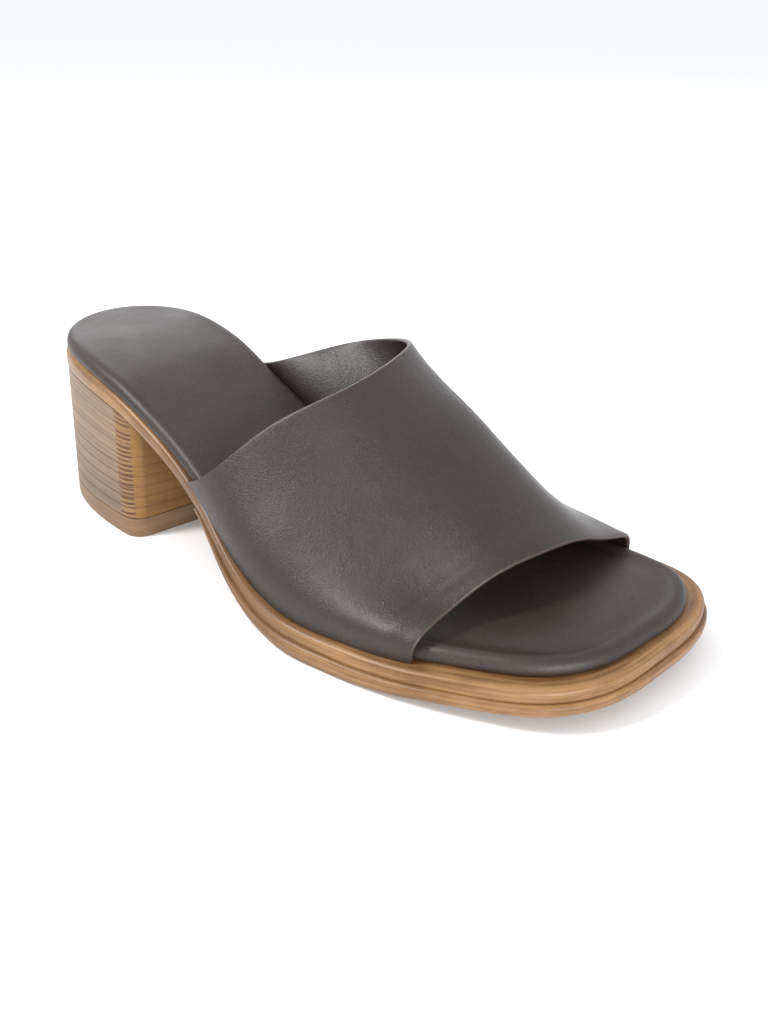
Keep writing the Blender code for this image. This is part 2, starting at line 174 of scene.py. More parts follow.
# Edge profiles from the middle of the top, round the side, to the middle of the underside: inset
# from the edge and height above the layer's base in millimetres, and reach towards the middle line
FOOTBED_TOP = [
    ProfileRow(15.0, 5.00, 1.00),
    ProfileRow(15.0, 5.00, 0.80),
    ProfileRow(15.0, 5.00, 0.60),
    ProfileRow(15.0, 5.00, 0.40),
    ProfileRow(15.0, 5.00, 0.20),
    ProfileRow(15.0, 4.97, 0.00),
    ProfileRow(13.0, 4.86, 0.00),
    ProfileRow(11.2, 4.66, 0.00),
    ProfileRow(9.6, 4.42, 0.00),
    ProfileRow(8.2, 4.26, 0.00),
    ProfileRow(7.0, 4.26, 0.00),
    ProfileRow(5.9, 4.42, 0.00),
    ProfileRow(4.9, 4.66, 0.00),
    ProfileRow(4.0, 4.86, 0.00),
    ProfileRow(3.2, 4.90, 0.00),
    ProfileRow(2.4, 4.74, 0.00),
    ProfileRow(1.7, 4.40, 0.00),
    ProfileRow(1.1, 3.90, 0.00),
    ProfileRow(0.6, 3.25, 0.00),
    ProfileRow(0.25, 2.50, 0.00),
    ProfileRow(0.05, 1.70, 0.00),
    ProfileRow(0.0, 1.00, 0.00),
    ProfileRow(0.15, 0.40, 0.00),
    ProfileRow(0.6, 0.00, 0.00),
    ProfileRow(4.0, 0.00, 0.00),
    ProfileRow(4.0, 0.00, 1.00),
]
FLAT_CROWN = 4.95
SEAT_DIP = 0.10
SOLE_JOINT = 0.06

LayerRow = namedtuple("LayerRow", "inset drop reach")

# Sole layers: inset in millimetres, drop as a share of the thickness, reach to the middle line
MIDSOLE_ROWS = [
    LayerRow(9.0, 0.00, 1.0),
    LayerRow(9.0, 0.00, 0.5),
    LayerRow(9.0, 0.00, 0.0),
    LayerRow(6.0, 0.00, 0.0),
    LayerRow(3.6, 0.01, 0.0),
    LayerRow(2.2, 0.02, 0.0),
    LayerRow(1.35, 0.055, 0.0),
    LayerRow(0.75, 0.12, 0.0),
    LayerRow(0.32, 0.22, 0.0),
    LayerRow(0.08, 0.34, 0.0),
    LayerRow(0.0, 0.48, 0.0),
    LayerRow(0.0, 0.66, 0.0),
    LayerRow(0.0, 0.84, 0.0),
    LayerRow(0.04, 0.97, 0.0),
    LayerRow(0.15, 1.00, 0.0),
    LayerRow(3.5, 1.00, 0.0),
    LayerRow(8.0, 1.00, 0.0),
    LayerRow(8.0, 1.00, 0.5),
    LayerRow(8.0, 1.00, 1.0),
]
OUTSOLE_ROWS = [
    LayerRow(8.0, 0.00, 1.0),
    LayerRow(8.0, 0.00, 0.0),
    LayerRow(3.0, 0.00, 0.0),
    LayerRow(1.2, 0.005, 0.0),
    LayerRow(0.7, 0.04, 0.0),
    LayerRow(0.32, 0.11, 0.0),
    LayerRow(0.08, 0.21, 0.0),
    LayerRow(0.0, 0.34, 0.0),
    LayerRow(0.02, 0.50, 0.0),
    LayerRow(0.12, 0.66, 0.0),
    LayerRow(0.34, 0.80, 0.0),
    LayerRow(0.70, 0.91, 0.0),
    LayerRow(1.15, 0.975, 0.0),
    LayerRow(1.8, 1.00, 0.0),
    LayerRow(5.0, 1.00, 0.0),
    LayerRow(11.0, 1.00, 0.0),
    LayerRow(11.0, 1.00, 0.5),
    LayerRow(11.0, 1.00, 1.0),
]
OUTSOLE_START = 0.40
OUTSOLE_BACK_EDGE = 0.6
STEP_FROM = 0.10
STEP_FULL = 0.70

# Heel proportions
BREAST_AT = 0.273
HEEL_STATIONS = 60
CORNER_STEPS = 14
FACE_STEPS = 24
GROOVE_HALF = 0.28
GROOVE_DEPTH = 0.12
BREAST_GROOVE_SHARE = 0.35


class MuleSizes(bpy.types.PropertyGroup):
    """Driving sizes of the mule, as its frame was built."""

    insole_length: FloatProperty(
        name="Insole length", description="Heel's back to toe tip", default=0.245, unit="LENGTH"
    )
    ball_width: FloatProperty(
        name="Ball width", description="Width the outline's shares are taken of", default=0.0974, unit="LENGTH"
    )
    seat_height: FloatProperty(
        name="Seat height", description="Top of the midsole at the heel", default=0.0608, unit="LENGTH"
    )
    toe_spring: FloatProperty(
        name="Toe spring", description="Rise of the sole at the toe", default=0.006, unit="LENGTH"
    )
    instep_rise: FloatProperty(
        name="Instep rise", description="Height the band's shares are taken of", default=0.064, unit="LENGTH"
    )
    outsole_thickness: FloatProperty(
        name="Outsole", description="Outsole thickness at the ball", default=0.0057, unit="LENGTH"
    )
    midsole_thickness: FloatProperty(
        name="Midsole", description="Midsole thickness at the ball", default=0.0046, unit="LENGTH"
    )
    ledge_width: FloatProperty(
        name="Ledge", description="Width the sole's ledge shares are taken of", default=0.008, unit="LENGTH"
    )
    outsole_step: FloatProperty(
        name="Step", description="How far the outsole stands out from the midsole", default=0.0015, unit="LENGTH"
    )
    heel_side_flare: FloatProperty(
        name="Heel side flare", description="How far the heel's sides spread to the floor", default=0.0014, unit="LENGTH"
    )
    heel_back_flare: FloatProperty(
        name="Heel back flare", description="How far the heel's back runs out to the floor", default=0.0027, unit="LENGTH"
    )
    breast_turn: FloatProperty(
        name="Breast turn", description="Turn of the heel's front face", default=radians(14.0), subtype="ANGLE"
    )
    breast_corner: FloatProperty(
        name="Breast corner", description="Radius of the heel's front corners", default=0.007, unit="LENGTH"
    )
    heel_edge: FloatProperty(
        name="Heel edge", description="How far the heel stands out from the insole", default=0.0008, unit="LENGTH"
    )
    top_lift: FloatProperty(
        name="Top lift", description="Height of the lift under the heel", default=0.0075, unit="LENGTH"
    )
    stack_pitch: FloatProperty(
        name="Stack pitch", description="Height of one layer of the heel", default=0.0045, unit="LENGTH"
    )
    band_thickness: FloatProperty(
        name="Band", description="Thickness of the band with its lining", default=0.0018, unit="LENGTH"
    )
    band_wall: FloatProperty(
        name="Band wall", description="Height over which the band stands upright", default=0.0065, unit="LENGTH"
    )
    joint_gap: FloatProperty(
        name="Joint gap", description="Clearance between neighbouring pieces", default=0.0003, unit="LENGTH"
    )
    grain_size: FloatProperty(
        name="Grain", description="Size of one pebble of the leather's grain", default=0.0007, unit="LENGTH"
    )


class MuleColours(bpy.types.PropertyGroup):
    """Colours of the mule's leathers and edges, in linear values."""

    leather: FloatVectorProperty(
        name="Band leather", description="Espresso band", subtype="COLOR", size=4,
        default=(0.0265, 0.0175, 0.0155, 1.0),
    )
    footbed: FloatVectorProperty(
        name="Footbed leather", description="Espresso footbed", subtype="COLOR", size=4,
        default=(0.034, 0.0235, 0.0205, 1.0),
    )
    edge: FloatVectorProperty(
        name="Sole edge", description="Burnished tan edge", subtype="COLOR", size=4,
        default=(0.250, 0.135, 0.055, 1.0),
    )
    edge_dark: FloatVectorProperty(
        name="Sole edge streaks", description="Darker streaks along the edge", subtype="COLOR", size=4,
        default=(0.125, 0.057, 0.020, 1.0),
    )
    stack: FloatVectorProperty(
        name="Stack", description="Pale layers of the heel", subtype="COLOR", size=4,
        default=(0.240, 0.165, 0.108, 1.0),
    )
    stack_dark: FloatVectorProperty(
        name="Stack shade", description="Greyer lower layers of the heel", subtype="COLOR", size=4,
        default=(0.120, 0.080, 0.053, 1.0),
    )
    stack_line: FloatVectorProperty(
        name="Stack lines", description="Dark lines between the layers", subtype="COLOR", size=4,
        default=(0.075, 0.038, 0.022, 1.0),
    )
    breast: FloatVectorProperty(
        name="Heel breast", description="Golden brown front face of the heel", subtype="COLOR", size=4,
        default=(0.190, 0.097, 0.034, 1.0),
    )
    breast_dark: FloatVectorProperty(
        name="Heel breast shade", description="Darker layers of the front face", subtype="COLOR", size=4,
        default=(0.130, 0.062, 0.022, 1.0),
    )
    gold: FloatVectorProperty(
        name="Golden strip", description="Strip down each front corner of the heel", subtype="COLOR", size=4,
        default=(0.215, 0.108, 0.035, 1.0),
    )
    stack_tick: FloatVectorProperty(
        name="Corner ticks", description="Short dark ticks round the heel's corners", subtype="COLOR", size=4,
        default=(0.070, 0.026, 0.013, 1.0),
    )
    lift: FloatVectorProperty(
        name="Top lift", description="Plain lift under the heel", subtype="COLOR", size=4,
        default=(0.185, 0.110, 0.060, 1.0),
    )
    lift_dark: FloatVectorProperty(
        name="Top lift shade", description="Darker streaks of the lift", subtype="COLOR", size=4,
        default=(0.145, 0.084, 0.046, 1.0),
    )


class MuleStage(bpy.types.PropertyGroup):
    """Camera, floor and lights."""

    lens: FloatProperty(name="Lens", description="Focal length in millimetres", default=36.31)
    azimuth: FloatProperty(name="Azimuth", description="Camera's turn in degrees", default=36.372)
    elevation: FloatProperty(name="Elevation", description="Camera's tilt in degrees", default=29.072)
    roll: FloatProperty(name="Roll", description="Camera's roll in degrees", default=1.395)
    place: FloatVectorProperty(
        name="Camera place", description="Camera's place", subtype="TRANSLATION", unit="LENGTH",
        default=(0.20268, -0.2461, 0.19665),
    )
    floor_colour: FloatVectorProperty(
        name="Floor", description="Colour of the floor", subtype="COLOR", size=4, default=(0.88, 0.88, 0.88, 1.0)
    )
    sky_strength: FloatProperty(name="Surround", description="Strength of the pale surround", default=1.07)


def spline_slopes(knots, values, closed):
    """Slopes of a smooth cubic through the values: closed round a loop, or free at both ends."""
    count = len(knots)
    matrix = np.zeros((count, count))
    rhs = np.zeros((count,) + values.shape[1:])
    for i in range(count):
        if not closed and i in (0, count - 1):
            j = i if i == 0 else i - 1
            step = knots[j + 1] - knots[j]
            matrix[i, i] = 2.0
            matrix[i, 1 if i == 0 else i - 1] = 1.0
            rhs[i] = 3.0 * (values[j + 1] - values[j]) / step
            continue
        before, after = (i - 1) % count, (i + 1) % count
        step_in = knots[i] - knots[before] if i else 1.0 - knots[before]
        step_out = knots[after] - knots[i] if after else 1.0 - knots[i]
        matrix[i, before] += step_out
        matrix[i, i] += 2.0 * (step_in + step_out)
        matrix[i, after] += step_in
        rise_in = (values[i] - values[before]) / step_in
        rise_out = (values[after] - values[i]) / step_out
        rhs[i] = 3.0 * (step_out * rise_in + step_in * rise_out)
    return np.linalg.solve(matrix, rhs)


def spline(points, shares, closed=False, knots=None):
    """Points of a smooth cubic curve at shares 0 to 1, its knots spaced as the points are."""
    points = np.asarray(points, dtype=float)
    if knots is None:
        following = np.roll(points, -1, axis=0) if closed else points[1:]
        chords = np.linalg.norm(following - points[: len(following)], axis=1)
        knots = np.concatenate([[0.0], np.cumsum(chords)]) / chords.sum()
    knots = np.asarray(knots, dtype=float)
    if closed:
        knots = knots[:-1]
    slopes = spline_slopes(knots, points, closed)
    curve = []
    for share in shares:
        i = min(max(int(np.searchsorted(knots, share, side="right")) - 1, 0), len(knots) - 1)
        if not closed:
            i = min(i, len(knots) - 2)
        j = (i + 1) % len(knots)
        step = (knots[j] if j else 1.0) - knots[i]
        t = (share - knots[i]) / step
        curve.append(
            (2 * t**3 - 3 * t**2 + 1) * points[i]
            + (t**3 - 2 * t**2 + t) * step * slopes[i]
            + (3 * t**2 - 2 * t**3) * points[j]
            + (t**3 - t**2) * step * slopes[j]
        )
    return np.array(curve)


def steady_curve(xs, ys, x):
    """A curve through a table that never overshoots its rows, read at x."""
    xs, ys = np.asarray(xs, dtype=float), np.asarray(ys, dtype=float)
    rises = np.diff(ys) / np.diff(xs)
    slopes = np.zeros(len(xs))
    slopes[0], slopes[-1] = rises[0], rises[-1]
    for i in range(1, len(xs) - 1):
        if rises[i - 1] * rises[i] > 0:
            slopes[i] = 2 * rises[i - 1] * rises[i] / (rises[i - 1] + rises[i])
    x = min(max(x, xs[0]), xs[-1])
    i = min(int(np.searchsorted(xs, x, side="right")) - 1, len(xs) - 2)
    step = xs[i + 1] - xs[i]
    t = (x - xs[i]) / step
    return float(
        (2 * t**3 - 3 * t**2 + 1) * ys[i]
        + (t**3 - 2 * t**2 + t) * step * slopes[i]
        + (3 * t**2 - 2 * t**3) * ys[i + 1]
        + (t**3 - t**2) * step * slopes[i + 1]
    )


def ease(value, low, high):
    """0 below low, 1 above high, and a smooth step between."""
    t = min(max((value - low) / (high - low), 0.0), 1.0)
    return t * t * (3.0 - 2.0 * t)


class Last:
    """The shoe's own lines, worked out from the sizes: its outline, its deck and its layers."""

    def __init__(self, sizes):
        self.sizes = sizes
        self.runs = self.edge_runs()
        outline_low = Vector((self.runs[MEDIAL][0, 0], self.runs[LATERAL][:, 1].min(), 0.0))
        footbed_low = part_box("footbed")[0]
        self.origin = Vector((footbed_low.x - outline_low.x, footbed_low.y - outline_low.y, 0.0))

    def edge_runs(self):
        """The insole's edge as two dense runs from the heel's back to the toe tip.

        Each row holds x, y, the outward direction's x and y, and the width of the ledge beyond it.
        """
        rows = [(HEEL_BACK, MEDIAL)]
        rows += [(row, LATERAL) for row in LATERAL_EDGE]
        rows += [(TOE_TIP, MEDIAL)]
        rows += [(row, MEDIAL) for row in reversed(MEDIAL_EDGE)]
        length, width, ledge = self.sizes.insole_length, self.sizes.ball_width, self.sizes.ledge_width
        table = np.array([[r.along * length, side * r.out * width, r.ledge * ledge] for r, side in rows])
        chords = np.linalg.norm(np.roll(table, -1, axis=0)[:, :2] - table[:, :2], axis=1)
        knots = np.concatenate([[0.0], np.cumsum(chords)]) / chords.sum()
        dense = spline(table, [i / EDGE_SAMPLES for i in range(EDGE_SAMPLES)], closed=True, knots=knots)
        tangent = np.roll(dense, -1, axis=0)[:, :2] - np.roll(dense, 1, axis=0)[:, :2]
        tangent /= np.linalg.norm(tangent, axis=1)[:, None]
        loop = np.column_stack([dense[:, 0], dense[:, 1], tangent[:, 1], -tangent[:, 0], dense[:, 2]])
        loop = np.roll(loop, -int(np.argmin(loop[:, 0])), axis=0)
        tip = int(np.argmax(loop[:, 0]))
        return {LATERAL: loop[: tip + 1], MEDIAL: np.vstack([loop[tip:], loop[:1]])[::-1]}

    def edge_at(self, x, side):
        """The insole's edge at x on one side: y, outward x and y, ledge."""
        run = self.runs[side]
        y, out_x, out_y, ledge = (float(np.interp(x, run[:, 0], run[:, k])) for k in range(1, 5))
        size = (out_x**2 + out_y**2) ** 0.5
        return y, out_x / size, out_y / size, ledge

    def edge_place(self, x, side, offset):
        """The point that lies a given offset outside the insole's edge."""
        y, out_x, out_y, _ = self.edge_at(x, side)
        return x + offset * out_x, y + offset * out_y

    def ledge(self, x, side):
        """How far the sole's outermost edge stands out from the insole."""
        return self.edge_at(x, side)[3]

    def midsole_edge(self, x, side):
        """How far the midsole stands out from the insole: the ledge less the outsole's step."""
        ledge = self.ledge(x, side)
        share = (ledge / self.sizes.ledge_width - STEP_FROM) / (STEP_FULL - STEP_FROM)
        return ledge - self.sizes.outsole_step * min(max(share, 0.0), 1.0)

    def side_value(self, column, x):
        """One column of the side table at a distance from the heel's back."""
        xs = [row.along * self.sizes.insole_length for row in SIDE]
        return steady_curve(xs, [getattr(row, column) for row in SIDE], x)

    def deck(self, x):
        """Height of the midsole's top."""
        flat = self.sizes.outsole_thickness + self.sizes.joint_gap + self.sizes.midsole_thickness
        rise = self.side_value("lift", x) * (self.sizes.seat_height - flat)
        return flat + rise + self.side_value("spring", x) * self.sizes.toe_spring

    def midsole_bottom(self, x):
        """Height of the midsole's underside."""
        return self.deck(x) - self.side_value("midsole", x) * self.sizes.midsole_thickness

    def outsole_top(self, x):
        """Height of the outsole's upper face, just clear of the midsole."""
        return self.midsole_bottom(x) - SOLE_JOINT * MM

    def outsole_bottom(self, x):
        """Height of the outsole's underside: zero where the ball rests on the floor."""
        return self.midsole_bottom(x) - self.sizes.joint_gap - self.side_value("outsole", x) * self.sizes.outsole_thickness

    def stations(self, count, start=None):
        """Distances from the heel's back where a layer has points, closest at its round ends."""
        low, high = float(self.runs[MEDIAL][0, 0]), float(self.runs[MEDIAL][-1, 0])
        xs = [low + (high - low) * (1.0 - cos(pi * i / count)) / 2.0 for i in range(count + 1)]
        return xs if start is None else [start] + [x for x in xs if x > start + (high - low) / (4 * count)]

    def outline_ring(self, xs, offset, reach, height, whole=True):
        """One closed ring of points: up the lateral side and back down the medial side.

        Offset says how far outside the insole's edge a point lies, reach how far it has gone
        towards the middle line, and height gives its z from its x.
        """
        lateral = [self.edge_place(x, LATERAL, offset(x, LATERAL)) for x in xs]
        medial = [self.edge_place(x, MEDIAL, offset(x, MEDIAL)) for x in xs]
        middle = [((a[0] + b[0]) / 2, (a[1] + b[1]) / 2) for a, b in zip(lateral, medial)]
        ends = (0, len(xs) - 1) if whole else (len(xs) - 1,)
        ring = []
        for index, point in list(enumerate(lateral)) + list(enumerate(medial))[::-1]:
            if index in ends and point is medial[index]:
                continue
            centre = middle[index]
            if index in ends:
                point = centre
            x = point[0] + reach * (centre[0] - point[0])
            y = point[1] + reach * (centre[1] - point[1])
            ring.append(Vector((x, y, height(x))) + self.origin)
        return ring


def sweep(rings, marks=None):
    """A skin swept through closed rings of equal count, with a map in metres along and across it.

    Marks are values to store on the points, each a function of the ring's number and the place in it.
    """
    bm = bmesh.new()
    layer = bm.loops.layers.uv.new("skin")
    stored = {name: bm.verts.layers.float.new(name) for name in marks or {}}
    count = len(rings[0])
    first = bmesh.ops.create_circle(bm, cap_ends=False, segments=count, radius=1.0)
    where = {vert: (0, index) for index, vert in enumerate(first["verts"])}
    for vert, (_, index) in where.items():
        vert.co = rings[0][index]
    edges = bm.edges[:]
    for number, ring in enumerate(rings[1:], 1):
        made = bmesh.ops.extrude_edge_only(bm, edges=edges)["geom"]
        fresh = [item for item in made if isinstance(item, bmesh.types.BMVert)]
        columns = []
        for vert in fresh:
            neighbours = [edge.other_vert(vert) for edge in vert.link_edges]
            columns.append(next(where[v][1] for v in neighbours if v in where))
        for vert, index in zip(fresh, columns):
            where[vert] = (number, index)
            vert.co = ring[index]
        edges = [e for e in made if isinstance(e, bmesh.types.BMEdge)]
        edges = [e for e in edges if all(where[v][0] == number for v in e.verts)]
    widest = max(rings, key=lambda ring: sum((a - b).length for a, b in zip(ring, ring[1:])))
    steps = [(a - b).length for a, b in zip(widest, widest[1:] + widest[:1])]
    around = np.concatenate([[0.0], np.cumsum(steps)])
    hops = [max((a - b).length for a, b in zip(*pair)) for pair in zip(rings, rings[1:])]
    along = np.concatenate([[0.0], np.cumsum(hops)])
    for name, stored_layer in stored.items():
        for vert, (number, index) in where.items():
            vert[stored_layer] = marks[name](number, index)
    for face in bm.faces:
        columns = [where[loop.vert][1] for loop in face.loops]
        wraps = max(columns) - min(columns) > count // 2
        for loop, column in zip(face.loops, columns):
            turned = count if wraps and column == 0 else column
            loop[layer].uv = (around[turned], along[where[loop.vert][0]])
    return bm, where


def close_ends(bm, where, last):
    """Cap the first and the last ring with a face each."""
    for number in (0, last):
        ring = [vert for vert, (row, _) in where.items() if row == number]
        rim = [e for e in bm.edges if all(v in where and where[v][0] == number for v in e.verts)]
        if ring:
            bmesh.ops.contextual_create(bm, geom=rim)


def finish_piece(bm, name, mat, node, smooth_angle=0.9):
    bmesh.ops.remove_doubles(bm, verts=bm.verts, dist=DOUBLES)
    bmesh.ops.recalc_face_normals(bm, faces=bm.faces)
    mesh = bpy.data.meshes.new(name)
    bm.to_mesh(mesh)
    bm.free()
    mesh.materials.append(mat)
    mesh.shade_smooth()
    mesh.set_sharp_from_angle(angle=smooth_angle)
    piece = bpy.data.objects.new(name, mesh)
    bpy.context.scene.collection.objects.link(piece)
    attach(piece, BODY)
    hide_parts(node)
    return piece


class Finish:
    """A small builder for one node material."""

    def __init__(self, name):
        self.material = bpy.data.materials.new(name)
        self.material.use_nodes = True
        self.tree = self.material.node_tree
        self.shader = self.tree.nodes["Principled BSDF"]
        self.place = self.tree.nodes.new("ShaderNodeTexCoord")

    def link(self, source, target):
        """Join one socket to another, or set a plain value."""
        if isinstance(source, bpy.types.NodeSocket):
            self.tree.links.new(source, target)
        else:
            target.default_value = source

    def stretched(self, source, scale):
        """Coordinates stretched by a scale on each axis."""
        node = self.tree.nodes.new("ShaderNodeMapping")
        self.link(source, node.inputs["Vector"])
        node.inputs["Scale"].default_value = scale
        return node.outputs["Vector"]

    def noise(self, source, scale, detail=3.0, roughness=0.5, distortion=0.0):
        """Cloudy noise."""
        node = self.tree.nodes.new("ShaderNodeTexNoise")
        self.link(source, node.inputs["Vector"])
        node.inputs["Scale"].default_value = scale
        node.inputs["Detail"].default_value = detail
        node.inputs["Roughness"].default_value = roughness
        node.inputs["Distortion"].default_value = distortion
        return node.outputs["Fac"]

    def cells(self, source, scale, randomness=1.0):
        """Distance to the nearest of scattered points, as in pebbled grain."""
        node = self.tree.nodes.new("ShaderNodeTexVoronoi")
        node.feature = "SMOOTH_F1"
        self.link(source, node.inputs["Vector"])
        node.inputs["Scale"].default_value = scale
        node.inputs["Smoothness"].default_value = 0.25
        node.inputs["Randomness"].default_value = randomness
        return node.outputs["Distance"]

    def ramp(self, source, stops):
        """A value or colour read from a few stops (place, colour)."""
        node = self.tree.nodes.new("ShaderNodeValToRGB")
        self.link(source, node.inputs["Fac"])
        elements = node.color_ramp.elements
        while len(elements) < len(stops):
            elements.new(0.5)
        for element, (at, colour) in zip(elements, stops):
            element.position = at
            element.color = colour if len(colour) == 4 else (*colour, 1.0)
        return node.outputs["Color"]

    def mask(self, source, low, high):
        """0 to 1 between two values of the source."""
        node = self.tree.nodes.new("ShaderNodeMapRange")
        node.interpolation_type = "SMOOTHSTEP"
        self.link(source, node.inputs["Value"])
        node.inputs["From Min"].default_value = low
        node.inputs["From Max"].default_value = high
        return node.outputs["Result"]

    def math(self, operation, first, second=0.0):
        """One sum."""
        node = self.tree.nodes.new("ShaderNodeMath")
        node.operation = operation
        self.link(first, node.inputs[0])
        self.link(second, node.inputs[1])
        return node.outputs[0]

    def mix(self, share, first, second, blend="MIX"):
        """Two colours mixed by a share."""
        node = self.tree.nodes.new("ShaderNodeMix")
        node.data_type = "RGBA"
        node.blend_type = blend
        self.link(share, node.inputs["Factor"])
        self.link(first, node.inputs["A"] if False else node.inputs[6])
        self.link(second, node.inputs["B"] if False else node.inputs[7])
        return node.outputs[2]

    def attribute(self, name):
        """A value stored on the piece's points."""
        node = self.tree.nodes.new("ShaderNodeAttribute")
        node.attribute_name = name
        return node.outputs["Fac"]

    def split(self, source):
        """The three parts of a coordinate."""
        node = self.tree.nodes.new("ShaderNodeSeparateXYZ")
        self.link(source, node.inputs["Vector"])
        return node.outputs

    def join(self, x, y, z):
        """A coordinate from three parts."""
        node = self.tree.nodes.new("ShaderNodeCombineXYZ")
        for source, target in zip((x, y, z), node.inputs):
            self.link(source, target)
        return node.outputs["Vector"]

    def bump(self, height, distance, strength, normal=None):
        """Relief of a real depth in metres, over any relief before it."""
        node = self.tree.nodes.new("ShaderNodeBump")
        self.link(height, node.inputs["Height"])
        node.inputs["Distance"].default_value = distance
        node.inputs["Strength"].default_value = strength
        if normal is not None:
            self.link(normal, node.inputs["Normal"])
        return node.outputs["Normal"]

    def set(self, **values):
        """Links or values on the shader's own sockets; double underscores stand for spaces."""
        for name, value in values.items():
            self.link(value, self.shader.inputs[name.replace("__", " ")])
        return self.material


def leather_finish(name, colour, grain, pebble_depth, roughness, coat, rim=False):
    """Smooth dyed leather: fine pebbled grain, slow colour change and a soft gloss; with rim, a painted highlight
    lightens the turned edges.
    """
    made = Finish(name)
    at = made.place.outputs["Object"]
    wander = made.noise(at, 1.0 / (6.0 * grain), detail=2.0)
    pebbles = made.cells(made.stretched(at, (1.0, 1.0, 1.0)), 1.0 / grain)
    fine = made.noise(at, 2.4 / grain, detail=3.0, roughness=0.6)
    soft = made.noise(at, 28.0, detail=2.0)
    patch = made.noise(at, 34.0, detail=4.0, roughness=0.55)
    height = made.math("ADD", made.math("MULTIPLY", pebbles, made.mask(wander, 0.2, 0.75)), fine)
    waves = made.bump(soft, 0.0009, 0.35)
    grain_normal = made.bump(height, pebble_depth, 0.9, waves)
    dark = tuple(0.80 * c for c in colour[:3]) + (1.0,)
    light = tuple(min(1.22 * c, 1.0) for c in colour[:3]) + (1.0,)
    body = made.ramp(patch, [(0.30, dark), (0.50, tuple(colour)), (0.72, light)])
    if rim:
        # Painted highlight: the turned rims are lightened as if catching the light.
        painted_rim_highlight = tuple(2.3 * c for c in colour[:3]) + (1.0,)
        body = made.mix(made.math("MULTIPLY", made.attribute("rim"), 0.75), body, painted_rim_highlight)
    pits = made.ramp(pebbles, [(0.05, (1.0, 1.0, 1.0)), (0.85, (0.62, 0.60, 0.60))])
    gloss = made.mask(made.noise(at, 60.0, detail=3.0), 0.2, 0.8)
    rough = made.math("ADD", made.math("MULTIPLY", gloss, 0.10), roughness - 0.05)
    return made.set(
        Base__Color=made.mix(1.0, body, pits, "MULTIPLY"),
        Roughness=rough,
        Normal=grain_normal,
        Coat__Weight=coat,
        Coat__Roughness=0.38,
        Specular__IOR__Level=0.36,
    )


def edge_finish(name, colour, shade, roughness, coat, waist_shade=0.0):
    """Burnished leather edge: fibres that run along the edge, darker streaks, a waxed gloss, and painted shade that
    darkens the edge round the waist.
    """
    made = Finish(name)
    skin = made.place.outputs["UV"]
    at = made.place.outputs["Object"]
    fibre = made.noise(made.stretched(skin, (70.0, 1500.0, 1.0)), 1.0, detail=4.0, roughness=0.6)
    streak = made.noise(made.stretched(skin, (24.0, 420.0, 1.0)), 1.0, detail=3.0, roughness=0.55)
    blotch = made.noise(at, 60.0, detail=4.0, roughness=0.6)
    tone = made.mask(made.math("ADD", made.math("MULTIPLY", streak, 0.65), made.math("MULTIPLY", blotch, 0.35)), 0.39, 0.62)
    body = made.mix(tone, tuple(shade), tuple(colour))
    light = tuple(min(1.28 * c, 1.0) for c in colour[:3]) + (1.0,)
    flecked = made.mix(made.math("MULTIPLY", made.mask(fibre, 0.52, 0.75), 0.55), body, light)
    # Painted shade: the edge colour is darkened round the waist, where the sole lies in shadow.
    x = made.split(at)[0]
    painted_waist_shade = made.math("MULTIPLY", made.mask(x, -0.055, -0.030), made.math("SUBTRACT", 1.0, made.mask(x, 0.0, 0.05)))
    flecked = made.mix(made.math("MULTIPLY", painted_waist_shade, waist_shade), flecked, made.mix(0.5, tuple(shade), (0.05, 0.03, 0.02, 1.0)))
    relief = made.bump(fibre, 0.00010, 0.55)
    rough = made.math("ADD", made.math("MULTIPLY", made.mask(blotch, 0.3, 0.7), 0.12), roughness - 0.06)
    return made.set(
        Base__Color=flecked,
        Roughness=rough,
        Normal=relief,
        Coat__Weight=coat,
        Coat__Roughness=0.30,
        Specular__IOR__Level=0.30,
    )


